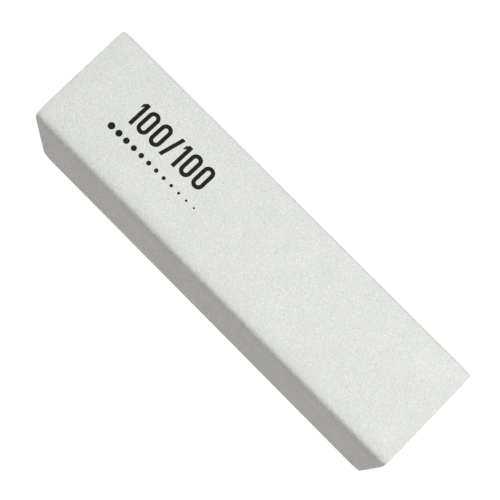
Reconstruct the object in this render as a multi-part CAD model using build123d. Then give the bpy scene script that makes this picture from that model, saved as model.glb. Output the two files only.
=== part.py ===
"""Nail buffer block: a foam core wrapped on its four long sides in one sheet of coated abrasive.

The sheet is glued round the core, and its two edges meet in a butt seam low on the back. It has the
layers of any coated abrasive: a paper backing, a resin bond coat, the grit and a white stearate coat
that keeps dust from clogging it. The two ends are cut through the whole stack, so each shows foam
inside a thin edge of sheet, and the cut has pressed the sheet in a little there. The grit number and
a row of dots are printed on top.

Frame: millimetres, +X along the block, +Z up, origin at the middle of the resting face.
"""
from build123d import *
import math
import os

# Outside of the block
BLOCK_LENGTH = 95.0
BLOCK_WIDTH = 25.0
BLOCK_HEIGHT = 25.0
LONG_EDGE_RADIUS = 2.0

# How far each end is pressed in, and over what length
END_PRESS_LENGTH = 2.0
END_PRESS_DEPTH = 0.35

# Thickness of each layer that goes round the core, from the outside inwards
STEARATE_THICKNESS = 0.04
GRIT_THICKNESS = 0.14
BOND_THICKNESS = 0.06
BACKING_THICKNESS = 0.26
GLUE_THICKNESS = 0.10
SHEET_LAYERS = {
    "stearate_coat": STEARATE_THICKNESS,
    "grit_coat": GRIT_THICKNESS,
    "bond_coat": BOND_THICKNESS,
    "backing_sheet": BACKING_THICKNESS,
}
SHEET_THICKNESS = sum(SHEET_LAYERS.values())

# Butt seam of the sheet, on the back
SEAM_GAP = 0.2
SEAM_HEIGHT = 3.6

# Printed grit number, and the row of dots under it, in ink that goes half way into the stearate coat
INK_THICKNESS = 0.02
PRINT_CENTRE_X = -24.3
NUMBER_BASELINE_Y = -0.6
NUMBER_HEIGHT = 5.4
STROKE_WIDTH = 0.85
ZERO_WIDTH = 2.7
ONE_WIDTH = 1.4
SLASH_WIDTH = 2.1
GLYPH_GAP = 0.7
GLYPH_WIDTHS = {"0": ZERO_WIDTH, "1": ONE_WIDTH, "/": SLASH_WIDTH}
GRIT_NUMBER = "100/100"
DOT_COUNT = 12
DOT_ROW_LENGTH = 23.6
DOT_ROW_Y = -3.4
LARGEST_DOT = 1.5
SMALLEST_DOT = 0.4


def section(depth):
    """Cross-section of the block, a given depth under its outside."""
    return RectangleRounded(
        BLOCK_WIDTH - 2 * depth, BLOCK_HEIGHT - 2 * depth, LONG_EDGE_RADIUS - depth
    )


def block_at_depth(depth):
    """The whole block down to a given depth: straight in the middle, tapering at each pressed end."""
    straight_half = BLOCK_LENGTH / 2 - END_PRESS_LENGTH
    press_angle = math.degrees(math.atan2(END_PRESS_DEPTH, END_PRESS_LENGTH))
    end_plane = Plane(origin=(straight_half, 0, BLOCK_HEIGHT / 2), x_dir=(0, 1, 0), z_dir=(1, 0, 0))
    middle = extrude(end_plane * section(depth), amount=-2 * straight_half)
    right_end = extrude(end_plane * section(depth), amount=END_PRESS_LENGTH, taper=press_angle)
    left_end = mirror(right_end, about=Plane.YZ)
    return middle + right_end + left_end


def seam_slot():
    """The gap between the sheet's two edges, as deep as the sheet."""
    slot = Box(BLOCK_LENGTH, SHEET_THICKNESS, SEAM_GAP)
    return Pos(0, (BLOCK_WIDTH - SHEET_THICKNESS) / 2, SEAM_HEIGHT) * slot


def zero_outline():
    """An upright oblong ring, centred on its own middle."""
    outer = SlotOverall(NUMBER_HEIGHT, ZERO_WIDTH, rotation=90)
    inner = SlotOverall(NUMBER_HEIGHT - 2 * STROKE_WIDTH, ZERO_WIDTH - 2 * STROKE_WIDTH, rotation=90)
    return outer - inner


def one_outline():
    """An upright bar against the right of its width, with a short slanted flag at its top."""
    right, top = ONE_WIDTH / 2, NUMBER_HEIGHT / 2
    bar = Pos(right - STROKE_WIDTH / 2, 0) * Rectangle(STROKE_WIDTH, NUMBER_HEIGHT)
    flag = Polygon(
        (right - STROKE_WIDTH / 2, top),
        (-right, top - 0.8 * STROKE_WIDTH),
        (-right, top - 1.9 * STROKE_WIDTH),
        (right - STROKE_WIDTH / 2, top - 1.1 * STROKE_WIDTH),
        align=None,
    )
    return bar + flag


def slash_outline():
    """A bar that leans to the right, as wide as a stroke where it crosses a level line."""
    right, top = SLASH_WIDTH / 2, NUMBER_HEIGHT / 2
    return Polygon(
        (-right, -top),
        (-right + STROKE_WIDTH, -top),
        (right, top),
        (right - STROKE_WIDTH, top),
        align=None,
    )


GLYPHS = {"0": zero_outline, "1": one_outline, "/": slash_outline}


def grit_number_outlines():
    """The glyphs of the grit number, side by side and centred on the print."""
    line_width = sum(GLYPH_WIDTHS[g] for g in GRIT_NUMBER) + GLYPH_GAP * (len(GRIT_NUMBER) - 1)
    left = PRINT_CENTRE_X - line_width / 2
    middle_y = NUMBER_BASELINE_Y + NUMBER_HEIGHT / 2
    outlines = []
    for glyph in GRIT_NUMBER:
        width = GLYPH_WIDTHS[glyph]
        outlines.append(Pos(left + width / 2, middle_y) * GLYPHS[glyph]())
        left += width + GLYPH_GAP
    return outlines


def dot_row_outlines():
    """A row of dots from coarse to fine, evenly spaced."""
    spacing = (DOT_ROW_LENGTH - (LARGEST_DOT + SMALLEST_DOT) / 2) / (DOT_COUNT - 1)
    first_x = PRINT_CENTRE_X - DOT_ROW_LENGTH / 2 + LARGEST_DOT / 2
    outlines = []
    for i in range(DOT_COUNT):
        diameter = LARGEST_DOT + (SMALLEST_DOT - LARGEST_DOT) * i / (DOT_COUNT - 1)
        outlines.append(Pos(first_x + i * spacing, DOT_ROW_Y) * Circle(diameter / 2))
    return outlines


def ink(outlines):
    """Printed shapes as thin solids let into the stearate coat, level with the top of the block."""
    return [extrude(Pos(0, 0, BLOCK_HEIGHT) * outline, amount=-INK_THICKNESS) for outline in outlines]


def build_nodes():
    """Every piece of the block, by the name of its node."""
    number_ink = ink(grit_number_outlines())
    dots_ink = ink(dot_row_outlines())
    nodes = {}
    depth = 0.0
    for name, thickness in SHEET_LAYERS.items():
        nodes[name] = block_at_depth(depth) - block_at_depth(depth + thickness) - seam_slot()
        depth += thickness
    nodes["glue_film"] = block_at_depth(depth) - block_at_depth(depth + GLUE_THICKNESS)
    nodes["foam_core"] = block_at_depth(depth + GLUE_THICKNESS)
    nodes["stearate_coat"] -= number_ink + dots_ink
    nodes["printed_grit_number"] = Compound(children=number_ink)
    nodes["printed_dot_row"] = Compound(children=dots_ink)
    return nodes


os.makedirs("parts", exist_ok=True)
for node_name, shape in build_nodes().items():
    export_step(shape, f"parts/{node_name}.step")
    print(node_name, round(shape.volume, 2), "mm3")
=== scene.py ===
# %% [markdown]
# # A nail buffer block
#
# This lesson builds a salon buffer block: a bar of white foam, wrapped on its four long sides in one
# sheet of fine white abrasive. Everything that matters is close to the surface. The sheet is paper
# under resin, under grit, under a chalky top coat, and all of it together is about half a
# millimetre thick, so the layers are seen only where the block was cut and where the sheet's edges
# meet. Each layer is its own piece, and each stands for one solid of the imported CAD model.

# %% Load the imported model
import math

import bpy
import numpy as np
from mathutils import Matrix, Vector


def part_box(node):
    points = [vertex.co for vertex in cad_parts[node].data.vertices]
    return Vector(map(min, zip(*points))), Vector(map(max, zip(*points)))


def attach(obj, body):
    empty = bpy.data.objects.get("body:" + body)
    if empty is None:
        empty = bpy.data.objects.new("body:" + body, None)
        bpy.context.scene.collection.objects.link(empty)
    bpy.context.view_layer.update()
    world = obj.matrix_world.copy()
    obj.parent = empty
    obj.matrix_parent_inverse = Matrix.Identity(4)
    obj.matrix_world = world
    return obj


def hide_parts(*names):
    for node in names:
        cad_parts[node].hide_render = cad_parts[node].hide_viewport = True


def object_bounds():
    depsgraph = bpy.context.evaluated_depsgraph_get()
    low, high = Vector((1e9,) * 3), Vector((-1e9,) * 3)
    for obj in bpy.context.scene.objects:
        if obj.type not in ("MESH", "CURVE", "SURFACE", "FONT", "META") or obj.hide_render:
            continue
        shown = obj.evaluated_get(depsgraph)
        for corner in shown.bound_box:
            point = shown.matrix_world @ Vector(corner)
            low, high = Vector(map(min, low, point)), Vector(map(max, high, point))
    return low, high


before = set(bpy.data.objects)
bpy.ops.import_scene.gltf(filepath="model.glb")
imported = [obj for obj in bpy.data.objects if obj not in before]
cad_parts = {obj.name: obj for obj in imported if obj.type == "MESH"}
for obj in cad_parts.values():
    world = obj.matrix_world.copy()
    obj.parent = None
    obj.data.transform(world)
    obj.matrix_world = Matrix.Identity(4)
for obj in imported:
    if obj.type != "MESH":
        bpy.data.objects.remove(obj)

MM = 0.001
cad_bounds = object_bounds()
low, high = (np.array(corner) for corner in cad_bounds)
HALF_LENGTH, HALF_WIDTH, HALF_HEIGHT = (high - low) / 2
print("block in millimetres:", np.round((high - low) / MM, 2))

# %% [markdown]
# ## How deep each layer lies
#
# The CAD nodes are nested like the skins of an onion, so half the difference between the block's
# width and a node's width is the depth of that node's outside. Reading the depths from the frame,
# and not typing them again, keeps the looks and the model the same when the model changes.

# %% Depths from the frame
LAYERS = ("stearate_coat", "grit_coat", "bond_coat", "backing_sheet", "glue_film", "foam_core")


def depth_of(node):
    """How far under the block's outside a node's own outside lies."""
    node_low, node_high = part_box(node)
    return HALF_WIDTH - (node_high.y - node_low.y) / 2


TOP_OF = {node: depth_of(node) for node in LAYERS}
FOOT_OF = dict(zip(LAYERS, list(TOP_OF.values())[1:]))
SEAM_GAP = 0.2 * MM
SEAM_HEIGHT = 3.6 * MM
print("depths in millimetres:", {node: round(d / MM, 3) for node, d in TOP_OF.items()})

# %% [markdown]
# ## The section of the block
#
# A rounded square could be drawn with four lines and four arcs, but foam under a tight sheet is
# softer than that: each face falls away a little before it reaches its corner. A superellipse has
# just that shape. Where a circle has the square of y plus the square of z, it has a high power of
# each: the higher the power, the straighter the sides and the tighter the corners. It is also one
# formula for every layer, with points that match from layer to layer. A walk round a plain square
# comes first, as two triangle waves cut off at 1 and -1. Each point then moves towards the middle
# until it lies on the superellipse, and steps in by the depth along the curve's own direction. The
# wrapped faces stand very slightly full of the nominal size, as springy foam under a sheet does.

# %% The section as a formula
WALK = 8
POWER = 14
FULLNESS = 0.16 * MM
CORNER_CROWDING = 0.25


def wave(p):
    """A triangle wave of period 8, highest at p = 1 and lowest at p = 5, cut off at 1 and -1."""
    return np.clip(2 - np.abs((p + 3) % WALK - 4), -1, 1)


def square_walk(p):
    """The point of a square from -1 to 1 that lies p along its edge. The back is 0 to 2 going up, the
    top 2 to 4, the front 4 to 6 going down, and the underside 6 to 8."""
    return wave(p), wave(p - 2)


def closer_at_corners(p):
    """The same walk with its steps shorter near the corners: a sine is taken from an even climb."""
    return p - CORNER_CROWDING * np.sin(np.pi * p) / np.pi


def section(a, b, depth):
    """y and z of the square's point (a, b) on the section at that depth. The point is divided by the
    14th root of the sum of its 14th powers, stretched to half the full size, and steps in against the
    slope of that sum."""
    a, b, depth = np.broadcast_arrays(a, b, depth)
    share = (np.abs(a) ** POWER + np.abs(b) ** POWER) ** (-1 / POWER)
    out_y, out_z = np.sign(a) * np.abs(a) ** (POWER - 1), np.sign(b) * np.abs(b) ** (POWER - 1)
    length = np.hypot(out_y, out_z)
    y = a * share * (HALF_WIDTH + FULLNESS) - depth * out_y / length
    z = b * share * (HALF_HEIGHT + FULLNESS) - depth * out_z / length
    return y, z + HALF_HEIGHT + FULLNESS


corner_cut = HALF_WIDTH + FULLNESS - section(1.0, 1.0, 0.0)[0]
print("corner lies", round(corner_cut / MM, 2), "mm in from each face")

# %% [markdown]
# ## The pressed ends and the two cuts
#
# Blocks are sawn from a long wrapped bar, and the saw presses the sheet in at each end. That is
# extra depth, which grows with the cube of the distance into the end zone, so that the sheet bends
# slowly at first and most right at the cut. The cuts are also a little off square, the left one
# most, as a long bar pushed through by hand gives. Every layer was cut by the same stroke, so one
# shift serves them all.

# %% The two cuts
END_PRESS_LENGTH = 4.5 * MM
END_PRESS_DEPTH = 0.18 * MM
LEFT_LEAN, RIGHT_LEAN, UPRIGHT_LEAN = -0.0345, 0.0107, -0.06
LEAN_FALL = 6


def pressed(x):
    """Extra depth at the ends: the cube of how far x is into the end zone."""
    into_end = (np.abs(x) - (HALF_LENGTH - END_PRESS_LENGTH)) / END_PRESS_LENGTH
    return END_PRESS_DEPTH * np.clip(into_end, 0, 1) ** 3


def off_square(points):
    """Points moved along the block by a share of y, and at the left end by a share of the height
    under the top too. The share is all at the end and falls off with the 6th power of x."""
    x, y, z = np.moveaxis(points, -1, 0)
    left, right = (np.clip(way * x / HALF_LENGTH, 0, 1) ** LEAN_FALL for way in (-1, 1))
    shift = left * (LEFT_LEAN * y + UPRIGHT_LEAN * (z - 2 * HALF_HEIGHT)) + right * RIGHT_LEAN * y
    return np.stack([x + shift, y, z], -1)


def skin(x, a, b, depth):
    """Points x along the block and (a, b) on its square, that deep under its pressed outside."""
    y, z = section(a, b, depth + pressed(x))
    return off_square(np.stack(np.broadcast_arrays(x, y, z), -1))


foot_set_in = -UPRIGHT_LEAN * 2 * HALF_HEIGHT
print("left cut is", round(foot_set_in / MM, 2), "mm further in at its foot than at its top")

# %% [markdown]
# ## Two kinds of unevenness
#
# Nothing here is polished, so each surface gets small random relief. Hills come from a grid of
# random numbers, blended by a smooth step, and suit a poured coat or a wandering cut. Bubbles come
# from scattered centres, each with its own radius, and suit foam. Both take whole arrays of points,
# and both are seeded, so the block is the same on every run.

# %% Hills and bubbles
FIELD = 240 * MM
SMALLEST_BUBBLE, LARGEST_BUBBLE = 0.30, 0.72
BUBBLE_STRAY = 0.15


def field_place(u, v, size):
    """Grid square and place within it, for points of a field that is centred on zero and large enough
    for the block and for its unrolled sheet. Also how many squares the field is across."""
    across = math.ceil(FIELD / size) + 2
    u, v = np.broadcast_arrays(np.asarray(u) / size + across / 2, np.asarray(v) / size + across / 2)
    return np.floor(u).astype(int), np.floor(v).astype(int), u, v, across


def hills(u, v, size, seed):
    """Random hills from -1 to 1, about that size across: the random numbers at the four corners of
    the grid square a point is in, blended by the smooth step 3t^2 - 2t^3 along each side."""
    column, row, u, v, across = field_place(u, v, size)
    numbers = np.random.default_rng(seed).uniform(-1, 1, (across + 1, across + 1))
    s, t = u - column, v - row
    s, t = s * s * (3 - 2 * s), t * t * (3 - 2 * t)
    near = numbers[row, column] * (1 - s) + numbers[row, column + 1] * s
    far = numbers[row + 1, column] * (1 - s) + numbers[row + 1, column + 1] * s
    return near * (1 - t) + far * t


def bubbles(u, v, size, seed):
    """How deep each point is inside its nearest bubble, from 0 at the wall to 1 at the middle of the
    largest. There is one bubble in each square of a grid, off its middle by chance, with a radius of
    its own; the depth is that of a half ball, and nine squares are looked at for each point."""
    column, row, u, v, across = field_place(u, v, size)
    rng = np.random.default_rng(seed)
    off_u, off_v = rng.uniform(BUBBLE_STRAY, 1 - BUBBLE_STRAY, (2, across, across))
    radius = rng.uniform(SMALLEST_BUBBLE, LARGEST_BUBBLE, (across, across))
    deepest = np.zeros(u.shape)
    for d_row, d_column in np.ndindex(3, 3):
        r, c = row + d_row - 1, column + d_column - 1
        away = np.hypot(u - c - off_u[r, c], v - r - off_v[r, c]) / radius[r, c]
        ball = np.sqrt(np.clip(1 - away**2, 0, 1)) * radius[r, c] / LARGEST_BUBBLE
        deepest = np.maximum(deepest, ball)
    return deepest


# %% [markdown]
# ## From points to a closed mesh
#
# A thin layer is two grids of points, its top and its foot, and a rim that joins their borders. The
# top of the chalky coat needs hundreds of points each way, and its foot, which nobody sees, does
# not. So the foot may be coarser by a whole number: each face of the rim then takes one edge of the
# foot and several of the top. Closed shells matter, because the mesh itself is kept as a result.

# %% Mesh helpers


def grid_faces(rows, columns, first=0):
    """Corner numbers of every face of a grid of points, kept row by row from point number first."""
    corner = first + np.arange(rows - 1)[:, None] * columns + np.arange(columns - 1)
    return np.stack([corner, corner + 1, corner + columns + 1, corner + columns], -1).reshape(-1, 4)


def grid_border(rows, columns, first=0):
    """Numbers of the points round a grid's border, in order, each once."""
    number = first + np.arange(rows * columns).reshape(rows, columns)
    return np.concatenate([number[0, :-1], number[:-1, -1], number[-1, :0:-1], number[:0:-1, 0]])


def loop_faces(loops):
    """Corner numbers of the faces between closed loops of points, one loop to a row."""
    here, beyond = loops[:-1], loops[1:]
    around = [here, np.roll(here, -1, 1), np.roll(beyond, -1, 1), beyond]
    return np.stack(around, -1).reshape(-1, 4)


def make_piece(name, points, faces, crease=50):
    """A mesh object at the origin, smooth but for edges sharper than crease degrees."""
    mesh = bpy.data.meshes.new(name)
    mesh.from_pydata(np.asarray(points).reshape(-1, 3).tolist(), [], faces)
    mesh.shade_smooth()
    mesh.set_sharp_from_angle(angle=math.radians(crease))
    mesh.update()
    piece = bpy.data.objects.new(name, mesh)
    bpy.context.scene.collection.objects.link(piece)
    return piece


def shell_faces(rows, columns, coarser):
    """Faces of a closed shell: a top grid, a foot grid that is coarser by a whole number, and a rim
    whose every face has one edge of the foot and as many of the top as the foot is coarser."""
    foot_rows, foot_columns = (rows - 1) // coarser + 1, (columns - 1) // coarser + 1
    first = rows * columns
    top_border = grid_border(rows, columns)
    foot_border = grid_border(foot_rows, foot_columns, first)
    start = np.arange(len(foot_border)) * coarser
    along_top = top_border[(start[:, None] + np.arange(coarser + 1)) % len(top_border)]
    rim = np.column_stack([foot_border, np.roll(foot_border, -1), along_top[:, ::-1]])
    top = grid_faces(rows, columns)
    foot = grid_faces(foot_rows, foot_columns, first)[:, ::-1]
    return top.tolist() + foot.tolist() + rim.tolist()


def triangle_count(piece):
    """How many triangles a piece's faces make."""
    sizes = np.zeros(len(piece.data.polygons), int)
    piece.data.polygons.foreach_get("loop_total", sizes)
    return int((sizes - 2).sum())


def enclosed(piece):
    """Volume inside a piece's mesh in cubic millimetres, which is negative if its faces look inwards."""
    piece.data.calc_loop_triangles()
    corners = np.zeros(len(piece.data.loop_triangles) * 3, int)
    piece.data.loop_triangles.foreach_get("vertices", corners)
    at = np.zeros(len(piece.data.vertices) * 3)
    piece.data.vertices.foreach_get("co", at)
    a, b, c = (at.reshape(-1, 3)[corners].reshape(-1, 3, 3) / MM).transpose(1, 0, 2)
    return float((a * np.cross(b, c)).sum() / 6)


def stand_for(piece, node):
    """The piece takes the place of a CAD node and rides on the block."""
    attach(piece, "root")
    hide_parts(node)
    print(piece.name, triangle_count(piece), "triangles,", round(enclosed(piece), 2), "cubic mm")


# %% [markdown]
# ## Where the sheet begins and ends
#
# The sheet goes once round the block. Its two edges meet in a butt seam low on the back, and by hand
# such a gap is never even, so both edges wander. The four layers of the sheet are cut together, so
# they share that wander, and each then frays by its own amount: paper cuts clean, and the brittle
# coats chip. The same holds for the two sawn ends. The seam starts from the CAD model's height, and
# the crowding of the walk's steps towards the corners brings it lower, so its place is measured.

# %% The sheet's edges
SEAM_AT = SEAM_HEIGHT / HALF_HEIGHT
SEAM_WANDER, WANDER_SIZE = 0.05 * MM, 14 * MM
COARSE_CHIP, FINE_CHIP = 1.6 * MM, 0.5 * MM
END_CROWDING = 0.4
seam_z = section(*square_walk(closer_at_corners(SEAM_AT)), 0.0)[1]
print("seam middle is", round(seam_z / MM, 2), "mm above the base")


def frayed(along, amount, seed):
    """How far an edge is chipped back: two sizes of hills, of which only what stands up is taken."""
    coarse = hills(along, 0 * along, COARSE_CHIP, seed)
    fine = hills(along, 0 * along, FINE_CHIP, seed + 1)
    return amount * np.clip(0.25 + 0.5 * coarse + 0.5 * fine, 0, 1)


def closer_at_ends(rows):
    """Steps from 0 to 1, closer together at both ends: a sine is taken from an even climb."""
    even = np.linspace(0, 1, rows)
    return even - END_CROWDING * np.sin(2 * np.pi * even) / (2 * np.pi)


def sheet_grid(rows, columns, fray, seed):
    """x and p of a grid over the whole sheet, rows along the block and columns round it, from edge to
    edge, where each edge has its own wander and fray."""
    s, t = closer_at_ends(rows)[:, None], np.linspace(0, 1, columns)[None, :]
    along, around = HALF_LENGTH * (2 * s - 1), WALK * HALF_WIDTH * t
    wander = SEAM_WANDER * hills(along, 0 * along, WANDER_SIZE, 5)
    start_p = SEAM_AT + (SEAM_GAP / 2 + wander + frayed(along, fray, seed)) / HALF_WIDTH
    end_p = SEAM_AT + WALK - (SEAM_GAP / 2 - wander + frayed(along, fray, seed + 10)) / HALF_WIDTH
    left_x = -HALF_LENGTH + frayed(around, fray, seed + 20)
    right_x = HALF_LENGTH - frayed(around, fray, seed + 30)
    x, p = left_x + (right_x - left_x) * s, start_p + (end_p - start_p) * t
    return x, closer_at_corners(p)


def sheet_shell(node, rows, columns, coarser, fray, relief, seed):
    """Points and faces of one layer of the sheet, as a closed shell between its top and its foot.
    Relief is a function of x and the distance round the block, and makes the top deeper."""
    x, p = sheet_grid(rows, columns, fray, seed)
    top = skin(x, *square_walk(p), TOP_OF[node] + relief(x, p * HALF_WIDTH))
    coarse = (slice(None, None, coarser), slice(None, None, coarser))
    foot = skin(x[coarse], *square_walk(p[coarse]), FOOT_OF[node])
    points = np.concatenate([top.reshape(-1, 3), foot.reshape(-1, 3)])
    return points, shell_faces(rows, columns, coarser)


# %% [markdown]
# ## The stearate coat
#
# The outermost skin is a metal soap that is brushed over the grit, so that nail dust does not clog
# it. It is what makes the block look chalky white and not like sandpaper. It follows the grains
# under it, so its relief is low hills of several sizes. The finest that this mesh can hold is under
# a millimetre; the grains themselves are smaller, and the material adds them as bump.

# %% Stearate coat
COAT_RELIEF = 0.012 * MM
COAT_FRAY = 0.08 * MM


def coat_relief(x, around):
    """Depth of the coat's hollows: hills of 5, 1.8 and 0.9 mm, moved down so that none stands up."""
    wide = hills(x, around, 5.0 * MM, 41)
    middle = hills(x, around, 1.8 * MM, 42)
    fine = hills(x, around, 0.9 * MM, 43)
    return COAT_RELIEF * (1 + 0.4 * wide + 0.3 * middle + 0.3 * fine)


coat_shell = sheet_shell("stearate_coat", 301, 301, 6, COAT_FRAY, coat_relief, 100)
top_coat = make_piece("chalky_top_coat", *coat_shell)
stand_for(top_coat, "stearate_coat")

# %% [markdown]
# ## The paper backing and the bond coat
#
# The backing is the only layer with strength: a latex-treated paper that carries the rest round the
# corners. It is a sheet cut to size and glued on tight, and its outline once round the middle of its
# thickness is worked out. The bond coat is the resin that was rolled on to hold the grit.

# %% Backing and bond
PAPER_FRAY, PAPER_RELIEF = 0.02 * MM, 0.006 * MM
RESIN_FRAY, RESIN_RELIEF = 0.03 * MM, 0.004 * MM


def paper_relief(x, around):
    """Soft fibre hills of half a millimetre."""
    return PAPER_RELIEF * (1 + hills(x, around, 0.5 * MM, 44))


def resin_relief(x, around):
    """Long shallow roller marks across the sheet."""
    return RESIN_RELIEF * (1 + hills(x, around * 0.3, 0.9 * MM, 45))


paper_shell = sheet_shell("backing_sheet", 121, 161, 2, PAPER_FRAY, paper_relief, 200)
backing = make_piece("paper_backing", *paper_shell)
stand_for(backing, "backing_sheet")
middle_depth = (TOP_OF["backing_sheet"] + FOOT_OF["backing_sheet"]) / 2
once_round = np.array(section(*square_walk(np.linspace(0, WALK, 2001)), middle_depth))
resin_shell = sheet_shell("bond_coat", 121, 161, 2, RESIN_FRAY, resin_relief, 300)
bond = make_piece("bond_resin", *resin_shell)
stand_for(bond, "bond_coat")

# %% [markdown]
# ## The grit coat
#
# Grit is crushed crystal, sieved to one size: for this number, grains of about 0.15 mm. Most of them
# lie under the chalky coat, and here and there a larger one breaks through it and glints, or shows
# as a dark fleck if it is not quite white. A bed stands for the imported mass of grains, and the ones
# that break through are real crystals: one octahedron, squashed, turned and cut about by chance, and
# repeated some thousands of times with eight faces each.

# %% Grit bed and crystals
GRAIN_RADIUS = 0.10 * MM
GRAIN_COUNT = 5200
DARK_SHARE = 0.12
CRYSTAL_SET_BACK = 0.3 * MM
GRIT_FRAY, GRIT_RELIEF = 0.06 * MM, 0.012 * MM
OCTAHEDRON = np.array([[1, 0, 0], [-1, 0, 0], [0, 1, 0], [0, -1, 0], [0, 0, 1], [0, 0, -1]])
UPPER_FACES = [(0, 2, 4), (2, 1, 4), (1, 3, 4), (3, 0, 4)]
LOWER_FACES = [(2, 0, 5), (1, 2, 5), (3, 1, 5), (0, 3, 5)]


def grit_relief(x, around):
    """The tops of packed grains: two sizes of hills, the finer as high as the coarser."""
    return GRIT_RELIEF * (2 + hills(x, around, 0.9 * MM, 46) + hills(x, around, 0.5 * MM, 47))


def turned_by_chance(rng, count):
    """Random turns as 3 by 3 matrices: the two random directions and their cross product, made square
    to each other."""
    first, second = rng.normal(size=(2, count, 3))
    first /= np.linalg.norm(first, axis=1, keepdims=True)
    third = np.cross(first, second)
    third /= np.linalg.norm(third, axis=1, keepdims=True)
    return np.stack([first, np.cross(third, first), third], axis=2)


def crystals(rng):
    """Corners of every crystal, count by 6 by 3: an octahedron with each corner pulled in or out,
    turned by chance, and set at a random place so that most of it lies under the coat."""
    reach = rng.uniform(0.65, 1.15, (GRAIN_COUNT, 6, 1)) * GRAIN_RADIUS
    body = (OCTAHEDRON * reach) @ turned_by_chance(rng, GRAIN_COUNT).transpose(0, 2, 1)
    furthest = HALF_LENGTH - CRYSTAL_SET_BACK
    x = rng.uniform(-furthest, furthest, GRAIN_COUNT)
    p = SEAM_AT + rng.uniform(0.03, WALK - 0.03, GRAIN_COUNT)
    sunk = GRAIN_RADIUS * rng.uniform(0.55, 0.95, GRAIN_COUNT)
    return skin(x, *square_walk(p), sunk)[:, None, :] + body


rng = np.random.default_rng(51)
bed_points, bed_faces = sheet_shell("grit_coat", 161, 201, 4, GRIT_FRAY, grit_relief, 400)
grains = crystals(rng)
first_corner = len(bed_points) + 6 * np.arange(GRAIN_COUNT)[:, None, None]
grain_faces = (first_corner + np.array(UPPER_FACES + LOWER_FACES)).reshape(-1, 3)
points = np.concatenate([bed_points, grains.reshape(-1, 3)])
grit = make_piece("grit_layer", points, bed_faces + grain_faces.tolist(), crease=30)
tones = np.where(rng.uniform(size=GRAIN_COUNT) < DARK_SHARE, rng.uniform(0, 0.45, GRAIN_COUNT), 1.0)
tone = grit.data.attributes.new("grain_tone", "FLOAT", "POINT")
tone.data.foreach_set("value", np.concatenate([np.ones(len(bed_points)), np.repeat(tones, 6)]))
stand_for(grit, "grit_coat")

# %% [markdown]
# ## The glue
#
# Contact glue holds the sheet to the foam, and at a cut end it is a faint amber line. It is spread
# all the way round, so it is a tube with no seam: loops of points run outside from one end to the
# other and come back inside, and the last loop is joined to the first.

# %% Glue film
GLUE_ROWS, GLUE_COLUMNS = 61, 240
GLUE_SET_BACK, GLUE_FRAY = 0.05 * MM, 0.08 * MM


def ring_points(x, depth, columns):
    """Loops of points round the block at each x, that deep under its outside."""
    p = closer_at_corners(np.linspace(0, WALK, columns, endpoint=False))
    return skin(x, *square_walk(p), depth)


gap_at = np.linspace(0, WALK * HALF_WIDTH, GLUE_COLUMNS)
glue_reach = HALF_LENGTH - GLUE_SET_BACK - frayed(gap_at, GLUE_FRAY, 61)
glue_x = (2 * closer_at_ends(GLUE_ROWS)[:, None] - 1) * glue_reach
glue_out = ring_points(glue_x, TOP_OF["glue_film"], GLUE_COLUMNS)
glue_in = ring_points(glue_x, FOOT_OF["glue_film"], GLUE_COLUMNS)
loops = np.arange(2 * GLUE_ROWS * GLUE_COLUMNS).reshape(2 * GLUE_ROWS, GLUE_COLUMNS)
loops = np.concatenate([loops[:GLUE_ROWS], loops[GLUE_ROWS:][::-1], loops[:1]])
glue_points = np.concatenate([glue_out.reshape(-1, 3), glue_in.reshape(-1, 3)])
glue = make_piece("glue_line", glue_points, loop_faces(loops).tolist())
stand_for(glue, "glue_film")

# %% [markdown]
# ## The foam
#
# The foam is closed-cell, so a sawn end is a field of half bubbles with thin walls between them.
# Only the two ends ever show, so they get dense grids with the bubbles as real relief, and the long
# sides, which lie under the glue, get a few rows. The end grid is a square, and shrinks towards its
# middle in nested rounded squares, so its border has the same points as the sides and the block is
# closed.

# %% Foam block
END_GRID = 182
BUBBLE_SIZE = 0.55 * MM
BUBBLE_DEPTH = 0.16 * MM
SAW_MARK_DEPTH, SAW_MARK_SIZE = 0.03 * MM, 0.8 * MM
BORDER_FADE = 12
SIDE_ROWS = 32


def sawn_end(side, seed):
    """Points of one sawn end, and their places on the square: nested rounded squares, hollowed by
    large and small bubbles and by saw marks. Side is -1 or 1. The hollows fade out at the border, and
    the count of points is even, because a point right in the middle would lie in no direction."""
    a, b = np.meshgrid(*[np.linspace(-1, 1, END_GRID)] * 2, indexing="ij")
    share = np.maximum(np.abs(a), np.abs(b))
    edge = skin(HALF_LENGTH, a / share, b / share, TOP_OF["foam_core"])
    y, z = edge[..., 1] * share, HALF_HEIGHT + (edge[..., 2] - HALF_HEIGHT) * share
    hollow = np.maximum(bubbles(y, z, BUBBLE_SIZE, seed), 0.6 * bubbles(y, z, BUBBLE_SIZE / 2, seed + 1))
    saw_marks = SAW_MARK_DEPTH * (1 + hills(y, z * 0.15, SAW_MARK_SIZE, seed + 2))
    fade = np.clip((1 - share) * BORDER_FADE, 0, 1)
    x = HALF_LENGTH - fade * (BUBBLE_DEPTH * hollow + saw_marks)
    return off_square(np.stack([side * x, y, z], -1)), a, b


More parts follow.
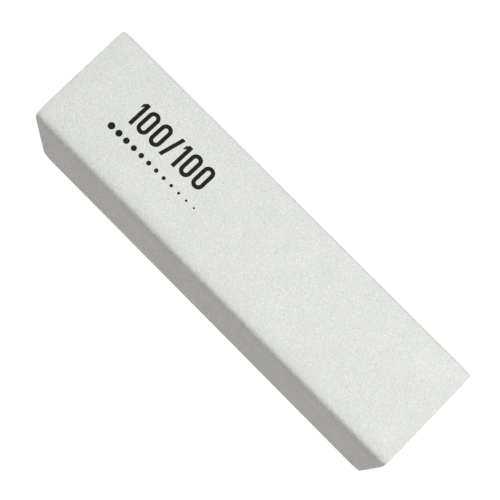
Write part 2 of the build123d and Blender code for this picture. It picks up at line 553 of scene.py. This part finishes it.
left_end, a, b = sawn_end(-1, 71)
right_end, _, _ = sawn_end(1, 81)
border = grid_border(END_GRID, END_GRID)
a_round, b_round = a.ravel()[border], b.ravel()[border]
side_x = HALF_LENGTH * np.sin(np.linspace(-np.pi / 2, np.pi / 2, SIDE_ROWS + 2))[1:-1, None]
sides = skin(side_x, a_round, b_round, TOP_OF["foam_core"])
end_points = END_GRID**2
side_loops = 2 * end_points + np.arange(sides.size // 3).reshape(SIDE_ROWS, -1)
loops = np.vstack([border, side_loops, border + end_points])
ends = [grid_faces(END_GRID, END_GRID)[:, ::-1], grid_faces(END_GRID, END_GRID, end_points)]
foam_faces = np.concatenate([*ends, loop_faces(loops)])
foam_points = np.concatenate([left_end.reshape(-1, 3), right_end.reshape(-1, 3), sides.reshape(-1, 3)])
foam = make_piece("foam_block", foam_points, foam_faces[:, ::-1].tolist(), crease=60)
stand_for(foam, "foam_core")

# %% [markdown]
# ## The print
#
# The grit number and a row of dots, from coarse to fine, are printed on the top in black, so that
# one grit can be told from another at a glance. Type is laid out by measure before any of it is
# drawn: how tall the figures are, how thick their strokes, and how far apart they stand.

# %% Measures of the print
PRINT_CENTRE_X = -24.3 * MM
NUMBER_BASELINE_Y = -0.6 * MM
NUMBER_HEIGHT = 5.4 * MM
STROKE_WIDTH = 0.85 * MM
GLYPH_WIDTHS = {"0": 2.7 * MM, "1": 1.4 * MM, "/": 2.1 * MM}
GLYPH_GAP = 0.7 * MM
GRIT_NUMBER = "100/100"
DOT_COUNT = 12
DOT_ROW_LENGTH = 23.6 * MM
DOT_ROW_Y = -3.4 * MM
LARGEST_DOT, SMALLEST_DOT = 1.5 * MM, 0.4 * MM
INK_PROUD, INK_SUNK = 0.008 * MM, 0.012 * MM
INK_CREEP, CREEP_SIZE = 0.012 * MM, 0.25 * MM
print("number is", round(NUMBER_HEIGHT / MM, 1), "mm tall over", DOT_COUNT, "dots")

# %% [markdown]
# ## Ink as a draped skin
#
# Ink on an abrasive is a skin that lies over every grain, so each shape is a small grid of points
# draped on the coat: its height is the coat's own formula at that place, plus a hair. A nought is a
# strip between two rounded outlines, a stroke is a grid between four corners, and a dot is a square
# grid drawn round. The outlines waver a little, because ink creeps between grains.

# %% Draped ink


def creep(x, y):
    """The outline's waver: hills of a quarter of a millimetre, added to both coordinates."""
    return x + INK_CREEP * hills(x, y, CREEP_SIZE, 91), y + INK_CREEP * hills(x, y, CREEP_SIZE, 92)


def draped(x, y, lift):
    """Points x, y on top of the block, on the coat's own surface and that much above it."""
    x, y = creep(x, y)
    around = (3 - y / HALF_WIDTH) * HALF_WIDTH
    return skin(x, y / HALF_WIDTH, 1.0, coat_relief(x, around) - lift)


def ink_patch(x, y):
    """Points and faces of a closed skin of ink over a grid of places."""
    top, foot = draped(x, y, INK_PROUD), draped(x, y, -INK_SUNK)
    return np.concatenate([top.reshape(-1, 3), foot.reshape(-1, 3)]), shell_faces(*x.shape, 1)


def stroke(corners, long_steps=40, short_steps=7):
    """A grid between four corners: the two long sides are drawn first, then blended across."""
    (x0, y0), (x1, y1), (x2, y2), (x3, y3) = corners
    s, t = np.linspace(0, 1, long_steps)[:, None], np.linspace(0, 1, short_steps)[None, :]
    x = (x0 + (x1 - x0) * s) * (1 - t) + (x3 + (x2 - x3) * s) * t
    y = (y0 + (y1 - y0) * s) * (1 - t) + (y3 + (y2 - y3) * s) * t
    return ink_patch(x, y)


def slot_outline(p, width, height):
    """A walk round an upright oblong with round ends: points of its box, clamped to its middle line
    and stepped out by half its width."""
    at = np.stack([wave(p) * width / 2, wave(p - 2) * height / 2])
    centre = np.stack([0 * p, np.clip(at[1], -(height - width) / 2, (height - width) / 2)])
    way = at - centre
    return centre + way / np.linalg.norm(way, axis=0) * width / 2


def nought(x, y):
    """A strip between two oblong outlines, from the outer to the inner on top and back below."""
    p = np.linspace(0, WALK, 96, endpoint=False)
    width = GLYPH_WIDTHS["0"]
    outer = slot_outline(p, width, NUMBER_HEIGHT)
    inner = slot_outline(p, width - 2 * STROKE_WIDTH, NUMBER_HEIGHT - 2 * STROKE_WIDTH)
    t = np.linspace(0, 1, 7)[:, None, None]
    strip = outer * (1 - t) + inner * t
    top = draped(x + strip[:, 0], y + strip[:, 1], INK_PROUD)
    foot = draped(x + strip[:, 0], y + strip[:, 1], -INK_SUNK)
    points = np.concatenate([top, foot[::-1]]).reshape(-1, 3)
    loops = np.arange(len(points)).reshape(-1, len(p))
    loops = np.concatenate([loops, loops[:1]])
    return points, loop_faces(loops).tolist()


def one(x, y):
    """The upright bar of a one, and its flag, as two skins that meet."""
    right, top = x + GLYPH_WIDTHS["1"] / 2, y + NUMBER_HEIGHT / 2
    bar_left, left = right - STROKE_WIDTH, x - GLYPH_WIDTHS["1"] / 2
    bottom = top - NUMBER_HEIGHT
    bar = stroke([(bar_left, bottom), (bar_left, top), (right, top), (right, bottom)])
    flag_foot, flag_top = top - 1.9 * STROKE_WIDTH, top - 0.8 * STROKE_WIDTH
    joint_foot = top - 1.1 * STROKE_WIDTH
    flag = stroke([(left, flag_foot), (left, flag_top), (bar_left, top), (bar_left, joint_foot)], 8, 7)
    return [bar, flag]


def slash(x, y):
    """A leaning bar."""
    right, top = GLYPH_WIDTHS["/"] / 2, NUMBER_HEIGHT / 2
    feet = (x - right, y - top), (x - right + STROKE_WIDTH, y - top)
    heads = (x + right - STROKE_WIDTH, y + top), (x + right, y + top)
    return stroke([feet[0], heads[0], heads[1], feet[1]])


def dot(x, y, diameter):
    """A square grid drawn round: each point keeps its nested square, which becomes a circle."""
    a, b = np.meshgrid(*[np.linspace(-1, 1, 12)] * 2, indexing="ij")
    share = np.maximum(np.abs(a), np.abs(b)) * diameter / 2 / np.hypot(a, b)
    return ink_patch(x + b * share, y + a * share)


def ink_piece(name, node, shapes):
    """One piece from many closed skins."""
    points = np.concatenate([shape_points for shape_points, _ in shapes])
    firsts = np.cumsum([0] + [len(shape_points) for shape_points, _ in shapes])
    faces = [[first + c for c in face] for first, (_, part) in zip(firsts, shapes) for face in part]
    piece = make_piece(name, points, faces)
    stand_for(piece, node)
    return piece


# %% [markdown]
# ## Setting the number and the dots
#
# The figures are set as a printer sets type: a pen moves on by each figure's width and a gap. The
# dots stand at even distances, and their diameters fall in even steps. All the figures are one
# piece and all the dots another, as on the CAD model.

# %% Number and dots
line_width = sum(GLYPH_WIDTHS[g] for g in GRIT_NUMBER) + GLYPH_GAP * (len(GRIT_NUMBER) - 1)
pen_x = PRINT_CENTRE_X - line_width / 2
number_y = NUMBER_BASELINE_Y + NUMBER_HEIGHT / 2
number_shapes = []
for glyph in GRIT_NUMBER:
    middle = pen_x + GLYPH_WIDTHS[glyph] / 2
    if glyph == "1":
        number_shapes += one(middle, number_y)
    else:
        number_shapes.append({"0": nought, "/": slash}[glyph](middle, number_y))
    pen_x += GLYPH_WIDTHS[glyph] + GLYPH_GAP
number_ink = ink_piece("grit_number_ink", "printed_grit_number", number_shapes)

dot_spacing = (DOT_ROW_LENGTH - (LARGEST_DOT + SMALLEST_DOT) / 2) / (DOT_COUNT - 1)
first_dot = PRINT_CENTRE_X - DOT_ROW_LENGTH / 2 + LARGEST_DOT / 2
diameters = np.linspace(LARGEST_DOT, SMALLEST_DOT, DOT_COUNT)
dot_shapes = [dot(first_dot + i * dot_spacing, DOT_ROW_Y, d) for i, d in enumerate(diameters)]
dots_ink = ink_piece("dot_row_ink", "printed_dot_row", dot_shapes)

# %% [markdown]
# ## Shader helpers
#
# Materials here are node graphs, and a graph is easier to read as short sentences than as boxes and
# wires. One helper adds a node and fills its inputs, each with a number, a colour or another node's
# socket. Effects that several materials share are node groups: they are built once, take a place on
# the surface and a few named values, and put out only numbers that change over the surface.

# %% Node helpers


def shade(red, green, blue):
    """A colour given as it looks on a screen, from 0 to 1, turned into the linear light it means."""
    seen = np.array([red, green, blue])
    return (*np.where(seen <= 0.04045, seen / 12.92, ((seen + 0.055) / 1.055) ** 2.4), 1.0)


def add(tree, kind, inputs=None, **properties):
    """One shader node, with its inputs set or linked and its properties set."""
    node = tree.nodes.new(kind)
    for name, value in properties.items():
        setattr(node, name, value)
    for name, value in (inputs or {}).items():
        if isinstance(value, bpy.types.NodeSocket):
            tree.links.new(value, node.inputs[name])
        else:
            node.inputs[name].default_value = value
    return node


def calc(tree, operation, first, second=0.0, third=0.0):
    """The output of a Math node."""
    node = add(tree, "ShaderNodeMath", {0: first, 1: second, 2: third}, operation=operation)
    return node.outputs[0]


def blend_colours(tree, share, first, second, way="MIX"):
    """The output of a colour Mix node."""
    inputs = {0: share, 6: first, 7: second}
    return add(tree, "ShaderNodeMix", inputs, data_type="RGBA", blend_type=way).outputs[2]


def scaled(tree, socket, low_value, high_value, low_out=0.0, high_out=1.0):
    """A smooth step from one pair of values to another."""
    values = {0: socket, 1: low_value, 2: high_value, 3: low_out, 4: high_out}
    return add(tree, "ShaderNodeMapRange", values, interpolation_type="SMOOTHSTEP").outputs[0]


def effect(name, inputs, outputs):
    """An empty node group with a Place input, named number inputs and number outputs. Gives the
    group, the sockets of its inputs by name, and the node that takes its outputs."""
    group = bpy.data.node_groups.new(name, "ShaderNodeTree")
    group.interface.new_socket("Place", in_out="INPUT", socket_type="NodeSocketVector")
    for label, value in inputs.items():
        socket = group.interface.new_socket(label, in_out="INPUT", socket_type="NodeSocketFloat")
        socket.default_value = value
    for label in outputs:
        group.interface.new_socket(label, in_out="OUTPUT", socket_type="NodeSocketFloat")
    print("effect:", name, "with outputs", ", ".join(outputs))
    return group, group.nodes.new("NodeGroupInput").outputs, group.nodes.new("NodeGroupOutput").inputs


def apply_effect(tree, group, place, **values):
    """The outputs of an effect at a place, with its inputs given by name."""
    inputs = {"Place": place} | {label.replace("_", " "): value for label, value in values.items()}
    return add(tree, "ShaderNodeGroup", inputs, node_tree=group).outputs


# %% [markdown]
# ## Shared effect: soft patches
#
# Four effects serve all the finishes. The first is soft clouds of tone, as in any coated or foamed
# white, where a coat is never laid on evenly. Noise gives them, with a size that each material sets.

# %% Patches


def make_patches():
    """Clouds of a chosen size: noise from 0 to 1, spread out so that it uses that whole range."""
    group, given, result = effect("soft patches", {"Patch Size": 2 * MM}, ["Cloud"])
    scale = calc(group, "DIVIDE", 1.0, given["Patch Size"])
    inputs = {"Vector": given["Place"], "Scale": scale, "Detail": 2.0, "Roughness": 0.5}
    cloud = add(group, "ShaderNodeTexNoise", inputs).outputs["Fac"]
    group.links.new(scaled(group, cloud, 0.25, 0.75), result["Cloud"])
    return group


patches = make_patches()

# %% [markdown]
# ## Shared effect: packed grains
#
# Grit, and fine foam too, is packed round lumps with crevices between them, which most finishes
# darken with painted shade. A Voronoi pattern gives each lump a middle, and the distance from it
# makes both the height and the crevice.

# %% Grains


def make_grains():
    """Packed grains of a chosen size: height falls from each grain's middle to its crevice, and finer
    noise roughens it."""
    group, given, result = effect("packed grains", {"Grain Size": 0.15 * MM}, ["Height", "Crevice"])
    scale = calc(group, "DIVIDE", 1.0, given["Grain Size"])
    cells = {"Vector": given["Place"], "Scale": scale, "Randomness": 1.0}
    distance = add(group, "ShaderNodeTexVoronoi", cells).outputs["Distance"]
    finer = {"Vector": given["Place"], "Scale": calc(group, "MULTIPLY", scale, 2.7), "Detail": 3.0}
    rough = add(group, "ShaderNodeTexNoise", finer).outputs["Fac"]
    height = calc(group, "SUBTRACT", calc(group, "MULTIPLY", rough, 0.5), distance)
    group.links.new(height, result["Height"])
    group.links.new(scaled(group, distance, 0.35, 0.75), result["Crevice"])
    return group


grains_effect = make_grains()

# %% [markdown]
# ## Shared effect: flecks
#
# Now and then a grain is darker than its neighbours, or shows a painted glint. Such flecks are a
# chosen share of scattered cells, each with a round edge.

# %% Flecks


def make_flecks():
    """Round flecks in a chosen share of scattered cells: a cell's random colour decides whether it
    has one, and distance from the cell's middle gives its edge."""
    group, given, result = effect("flecks", {"Fleck Size": 0.25 * MM, "Share": 0.05}, ["Mask"])
    scale = calc(group, "DIVIDE", 0.5, given["Fleck Size"])
    cells = add(group, "ShaderNodeTexVoronoi", {"Vector": given["Place"], "Scale": scale})
    chance = add(group, "ShaderNodeSeparateColor", {0: cells.outputs["Color"]}).outputs["Red"]
    lucky = calc(group, "LESS_THAN", chance, given["Share"])
    round_edge = scaled(group, cells.outputs["Distance"], 0.22, 0.32, 1.0, 0.0)
    group.links.new(calc(group, "MULTIPLY", lucky, round_edge), result["Mask"])
    return group


flecks = make_flecks()

# %% [markdown]
# ## Shared effect: edge wear and shade
#
# Wear is strongest where the block is handled and the coat is bent, and painted shade lies along the
# coat's edges and ends. Both could be painted by hand, but a straight block needs only arithmetic: how
# far a place is from the edges, the ends and the sides.

# %% Edge wear and shade


def make_edge_wear_and_shade():
    """How near a place is to a long edge, to an end and to the front or back. Near a long edge both
    the sideways and the upright distance from the middle are large, so the smaller is measured."""
    sizes = {"Half Length": HALF_LENGTH, "Half Width": HALF_WIDTH, "Half Height": HALF_HEIGHT}
    places = ["Long Edges", "Ends", "Sides"]
    group, given, result = effect("edge wear and shade", sizes | {"Reach": 2 * MM}, places)
    xyz = add(group, "ShaderNodeSeparateXYZ", {0: given["Place"]}).outputs
    from_axis = calc(group, "ABSOLUTE", calc(group, "SUBTRACT", xyz["Z"], given["Half Height"]))
    to_sides = calc(group, "SUBTRACT", given["Half Width"], calc(group, "ABSOLUTE", xyz["Y"]))
    to_top = calc(group, "SUBTRACT", given["Half Height"], from_axis)
    to_edge = calc(group, "DIVIDE", calc(group, "MAXIMUM", to_sides, to_top), given["Reach"])
    to_end = calc(group, "SUBTRACT", given["Half Length"], calc(group, "ABSOLUTE", xyz["X"]))
    group.links.new(scaled(group, to_edge, 0.3, 1.0, 1.0, 0.0), result["Long Edges"])
    group.links.new(scaled(group, to_sides, 0.0, 1 * MM, 1.0, 0.0), result["Sides"])
    end_share = calc(group, "DIVIDE", to_end, given["Reach"])
    group.links.new(scaled(group, end_share, 0.0, 1.0, 1.0, 0.0), result["Ends"])
    return group


edge_wear_and_shade = make_edge_wear_and_shade()

# %% [markdown]
# ## The chalky coat's finish
#
# Stearate is dry and almost without gloss, a white that is very slightly green in some places and
# warm in others. Seen close, a few grains are dark flecks, and more carry painted glints: bright
# flecks, a little glossy, where a crystal would face the light. Painted shade darkens the crevices
# between the grains and soft clouds over the coat, and a cooler grey band of painted shade runs
# along the long edges and at the ends. The painted shade of the grain is drawn stronger on the
# front and back, where flat light would otherwise hide it.

# %% Coat material


def start_material(name, **shader_values):
    """A material with a Principled BSDF whose plain values are set on its own sockets. Gives the
    material, its tree, the shader and the Object coordinates."""
    material = bpy.data.materials.new(name)
    material.use_nodes = True
    tree = material.node_tree
    shader = tree.nodes["Principled BSDF"]
    for label, value in shader_values.items():
        shader.inputs[label.replace("_", " ")].default_value = value
    place = tree.nodes.new("ShaderNodeTexCoord").outputs["Object"]
    print("material:", name)
    return material, tree, shader, place


def bump(tree, shader, height, distance, strength=1.0):
    """Feeds a height to the shader's normal."""
    inputs = {"Height": height, "Distance": distance, "Strength": strength}
    tree.links.new(add(tree, "ShaderNodeBump", inputs).outputs[0], shader.inputs["Normal"])


def finish_piece(piece, material, tree, shader, colour, roughness):
    """Links the changing colour and roughness, and gives the piece its material."""
    tree.links.new(colour, shader.inputs["Base Color"])
    tree.links.new(roughness, shader.inputs["Roughness"])
    piece.data.materials.append(material)


COAT_WARM = shade(0.888, 0.879, 0.863)
COAT_GREEN = shade(0.860, 0.883, 0.864)
# painted shade: the cool grey band along the long edges and at the ends
PAINTED_EDGE_SHADE = shade(0.846, 0.856, 0.864)
# painted shade: the grey that crevices and dark clouds turn to
PAINTED_CREVICE_SHADE = shade(0.77, 0.77, 0.75)
DARK_FLECK = shade(0.66, 0.66, 0.64)
# painted highlight: the glint of a crystal that faces the light
PAINTED_GLINT = shade(0.93, 0.93, 0.92)


def coat_finish(piece):
    """Chalky white with two tints, dark flecks, painted glints, and painted shade in clouds, in crevices
    and along the edges.
    """
    material, tree, shader, place = start_material("chalky stearate", Specular_IOR_Level=0.25)
    tint = apply_effect(tree, patches, place, Patch_Size=2.4 * MM)["Cloud"]
    colour = blend_colours(tree, tint, COAT_WARM, COAT_GREEN)
    wear_and_shade = apply_effect(tree, edge_wear_and_shade, place, Reach=4.5 * MM)
    # painted shade: the coat turns to a cool grey band near the long edges and at the ends
    painted_edge_shade = calc(tree, "MULTIPLY", calc(tree, "MAXIMUM", wear_and_shade["Long Edges"], wear_and_shade["Ends"]), 0.45)
    colour = blend_colours(tree, painted_edge_shade, colour, PAINTED_EDGE_SHADE)
    wide = apply_effect(tree, patches, place, Patch_Size=7 * MM)["Cloud"]
    small = apply_effect(tree, patches, place, Patch_Size=0.45 * MM)["Cloud"]
    tone = calc(tree, "ADD", calc(tree, "MULTIPLY", wide, 0.25), calc(tree, "MULTIPLY", small, 0.75))
    # painted shade: darker clouds and grain crevices, drawn stronger on the front and back
    shaded = calc(tree, "MULTIPLY", tone, 0.65)
    grain = apply_effect(tree, grains_effect, place, Grain_Size=0.36 * MM)
    hollow = calc(tree, "MULTIPLY", grain["Crevice"], 0.55)
    rough = calc(tree, "MAXIMUM", shaded, hollow)
    painted_shade_on_sides = scaled(tree, wear_and_shade["Sides"], 0.0, 1.0, 1.0, 1.7)
    colour = blend_colours(tree, calc(tree, "MULTIPLY", rough, painted_shade_on_sides), colour, PAINTED_CREVICE_SHADE)
    dark = apply_effect(tree, flecks, place, Fleck_Size=0.28 * MM, Share=0.022)["Mask"]
    colour = blend_colours(tree, calc(tree, "MULTIPLY", dark, 0.6), colour, DARK_FLECK)
    # painted highlights: bright glints of crystals, with lower roughness as well
    painted_glints = apply_effect(tree, flecks, place, Fleck_Size=0.22 * MM, Share=0.035)["Mask"]
    colour = blend_colours(tree, painted_glints, colour, PAINTED_GLINT)
    bump(tree, shader, calc(tree, "ADD", grain["Height"], calc(tree, "MULTIPLY", small, 0.4)), 0.06 * MM)
    glossier_flecks = scaled(tree, painted_glints, 0, 1, 0.85, 0.45)
    finish_piece(piece, material, tree, shader, colour, glossier_flecks)


coat_finish(top_coat)

# %% [markdown]
# ## The grit's finish
#
# One material serves the bed and the crystals. Each crystal carries a tone as an attribute: white
# ones are almost clear, and a few are brown or grey. They are glassier than anything else here.

# %% Grit material


def grit_finish(piece):
    """Crystal colour from the tone attribute, with packed grains on the bed and painted shade in their
    crevices.
    """
    material, tree, shader, place = start_material("white alumina", Specular_IOR_Level=0.6)
    tone = add(tree, "ShaderNodeAttribute", attribute_name="grain_tone").outputs["Fac"]
    grain = apply_effect(tree, grains_effect, place, Grain_Size=0.15 * MM)
    # painted shade: the bed's white turns grey in the crevices between grains
    white = blend_colours(tree, grain["Crevice"], shade(0.92, 0.92, 0.90), shade(0.70, 0.69, 0.66))
    colour = blend_colours(tree, tone, shade(0.34, 0.31, 0.28), white)
    bump(tree, shader, grain["Height"], 0.06 * MM)
    glassier_tops = scaled(tree, grain["Height"], -0.8, 0.4, 0.6, 0.3)
    finish_piece(piece, material, tree, shader, colour, glassier_tops)


grit_finish(grit)

# %% [markdown]
# ## Paper, resin, glue and foam
#
# These show only at the two sawn ends and in the seam. Paper is matte, with fine soft clouds.
# Resin and glue are glossier and faintly amber, because both yellow as they cure. The foam is a
# soft white whose bubbles are a little darker deep down, where less light reaches.

# %% Inner materials


def layer_finish(piece, name, pale, deep, patch_size, gloss, relief):
    """Clouds between two colours, and the same clouds as relief and as changes in gloss."""
    material, tree, shader, place = start_material(name, Specular_IOR_Level=0.4)
    cloud = apply_effect(tree, patches, place, Patch_Size=patch_size)["Cloud"]
    colour = blend_colours(tree, cloud, shade(*pale), shade(*deep))
    bump(tree, shader, cloud, relief)
    finish_piece(piece, material, tree, shader, colour, scaled(tree, cloud, 0, 1, gloss, gloss + 0.15))


layer_finish(backing, "latex paper", (0.90, 0.89, 0.85), (0.82, 0.80, 0.75), 0.25 * MM, 0.75, 0.02 * MM)
layer_finish(bond, "cured resin", (0.84, 0.80, 0.70), (0.76, 0.71, 0.60), 0.60 * MM, 0.30, 0.01 * MM)
layer_finish(glue, "contact glue", (0.88, 0.84, 0.72), (0.80, 0.75, 0.60), 0.80 * MM, 0.25, 0.02 * MM)


def foam_finish(piece):
    """Soft white, darker in the crevices of fine bubbles, with tone clouds and a dusty border."""
    material, tree, shader, place = start_material("closed-cell foam", Specular_IOR_Level=0.3)
    bubble = apply_effect(tree, grains_effect, place, Grain_Size=0.32 * MM)
    cloud = apply_effect(tree, patches, place, Patch_Size=3 * MM)["Cloud"]
    colour = blend_colours(tree, cloud, shade(0.95, 0.95, 0.93), shade(0.91, 0.91, 0.89))
    colour = blend_colours(tree, bubble["Crevice"], colour, shade(0.84, 0.84, 0.82))
    wear_and_shade = apply_effect(tree, edge_wear_and_shade, place, Reach=1.2 * MM)
    rubbed = calc(tree, "MULTIPLY", wear_and_shade["Long Edges"], 0.5)
    colour = blend_colours(tree, rubbed, colour, shade(0.86, 0.85, 0.82))
    bump(tree, shader, bubble["Height"], 0.08 * MM)
    finish_piece(piece, material, tree, shader, colour, scaled(tree, cloud, 0, 1, 0.7, 0.85))


foam_finish(foam)

# %% [markdown]
# ## The ink
#
# Printing ink dries to a soft black. On a rough ground it is never perfectly solid: it is thinner on
# the grains that stand up, which show as dark grey pin-pricks, and it takes a faint gloss.

# %% Ink material


def ink_finish(*pieces):
    """Black with grey pin-pricks over the grains."""
    material, tree, shader, place = start_material("printing ink", Specular_IOR_Level=0.12)
    grain = apply_effect(tree, grains_effect, place, Grain_Size=0.20 * MM)
    pricks = apply_effect(tree, flecks, place, Fleck_Size=0.12 * MM, Share=0.04)["Mask"]
    colour = blend_colours(tree, grain["Crevice"], shade(0.07, 0.07, 0.065), shade(0.11, 0.11, 0.105))
    colour = blend_colours(tree, pricks, colour, shade(0.32, 0.32, 0.31))
    bump(tree, shader, grain["Height"], 0.04 * MM)
    for piece in pieces:
        finish_piece(piece, material, tree, shader, colour, scaled(tree, pricks, 0, 1, 0.55, 0.8))


ink_finish(number_ink, dots_ink)

# %% [markdown]
# ## The light table
#
# White goods are shot on a light table: a white sheet that glows from below, so that the ground is
# plain white and shadows almost vanish. The glow also lights the sides of the block, which is why
# they are a soft grey and not dark. It is as bright as white can be, so it hides the block's shadow.

# %% Floor
FLOOR_RADIUS = 1.5
GLOW_COLOUR = (1.035, 1.0, 0.99, 1.0)


def floor_disc(rings=24, spokes=96):
    """A closed disc of rings that widen with the square of their number, joined at the middle."""
    radius = FLOOR_RADIUS * np.linspace(0, 1, rings + 1)[1:, None] ** 2
    angle = np.linspace(0, 2 * np.pi, spokes, endpoint=False)[None, :]
    points = np.stack([radius * np.cos(angle), radius * np.sin(angle), 0 * radius * angle], -1)
    centre = rings * spokes
    fan = [[centre, j, (j + 1) % spokes] for j in range(spokes)]
    loops = np.arange(centre).reshape(rings, spokes)
    faces = fan + loop_faces(loops)[:, ::-1].tolist()
    return make_piece("light_table", np.vstack([points.reshape(-1, 3), [[0, 0, 0]]]), faces)


floor = floor_disc()
material, tree, shader, place = start_material("glowing acrylic", Roughness=0.6, Specular_IOR_Level=0.2)
shader.inputs["Base Color"].default_value = shade(0.10, 0.10, 0.10)
shader.inputs["Emission Color"].default_value = GLOW_COLOUR
shader.inputs["Emission Strength"].default_value = 1.0
floor.data.materials.append(material)

# %% [markdown]
# ## The soft box and the room
#
# One large soft box, nearly overhead and a little to the back and right, lights the top. The room
# itself is dark, so that the sides stay grey, and only the camera sees it as white.

# %% Soft box and surroundings
KEY_PLACE = (0.22, 0.13, 0.87)
KEY_SIZE = 0.60
KEY_POWER = 10.2
KEY_COLOUR = (0.988, 1.0, 0.992)
SEEN_WHITE, ROOM_LIGHT = 1.0, 0.06


def soft_box(name, at, aim, size, power, colour):
    """A square area light that faces a point."""
    light = bpy.data.lights.new(name, "AREA")
    light.size, light.energy, light.color = size, power, colour
    lamp = bpy.data.objects.new(name, light)
    lamp.location = at
    lamp.rotation_euler = (Vector(aim) - Vector(at)).to_track_quat("-Z", "Y").to_euler()
    bpy.context.scene.collection.objects.link(lamp)
    print(name, "of", power, "watts,", round((Vector(at) - Vector(aim)).length, 2), "m away")


soft_box("key_soft_box", KEY_PLACE, (0, 0, HALF_HEIGHT), KEY_SIZE, KEY_POWER, KEY_COLOUR)
world = bpy.data.worlds.new("pale studio")
world.use_nodes = True
seen = add(world.node_tree, "ShaderNodeLightPath").outputs["Is Camera Ray"]
brightness = scaled(world.node_tree, seen, 0.0, 1.0, ROOM_LIGHT, SEEN_WHITE)
background = world.node_tree.nodes["Background"]
background.inputs["Color"].default_value = (1.0, 1.0, 1.0, 1.0)
world.node_tree.links.new(brightness, background.inputs["Strength"])
bpy.context.scene.world = world

# %% [markdown]
# ## The camera
#
# The camera stands in front and looks steeply down, turned a little to the right and rolled so that
# the block runs from the upper left to the lower right. Four readable values set its place: what it
# aims at, how far off it is, and its azimuth and elevation. The roll is one more turn about its
# line of sight. The cosine of the elevation says how much of the way to the camera is level.

# %% Camera
AIM = Vector((0.60, -1.40, 25.3)) * MM
DISTANCE = 236.6 * MM
AZIMUTH, ELEVATION, ROLL = (math.radians(angle) for angle in (15.0, 75.8, 30.5))
LENS, SENSOR = 88.84, 36.0

level = math.cos(ELEVATION)
away = Vector((math.sin(AZIMUTH) * level, -math.cos(AZIMUTH) * level, math.sin(ELEVATION)))
data = bpy.data.cameras.new("camera")
data.lens, data.sensor_width = LENS, SENSOR
data.clip_start, data.clip_end = 0.005, 10.0
camera = bpy.data.objects.new("camera", data)
camera.matrix_world = (
    Matrix.Translation(AIM + away * DISTANCE)
    @ away.to_track_quat("Z", "Y").to_matrix().to_4x4()
    @ Matrix.Rotation(ROLL, 4, "Z")
)
bpy.context.scene.collection.objects.link(camera)
bpy.context.scene.camera = camera
bpy.context.scene.view_settings.view_transform = "Standard"
print("camera at millimetres:", [round(v / MM, 1) for v in camera.matrix_world.translation])
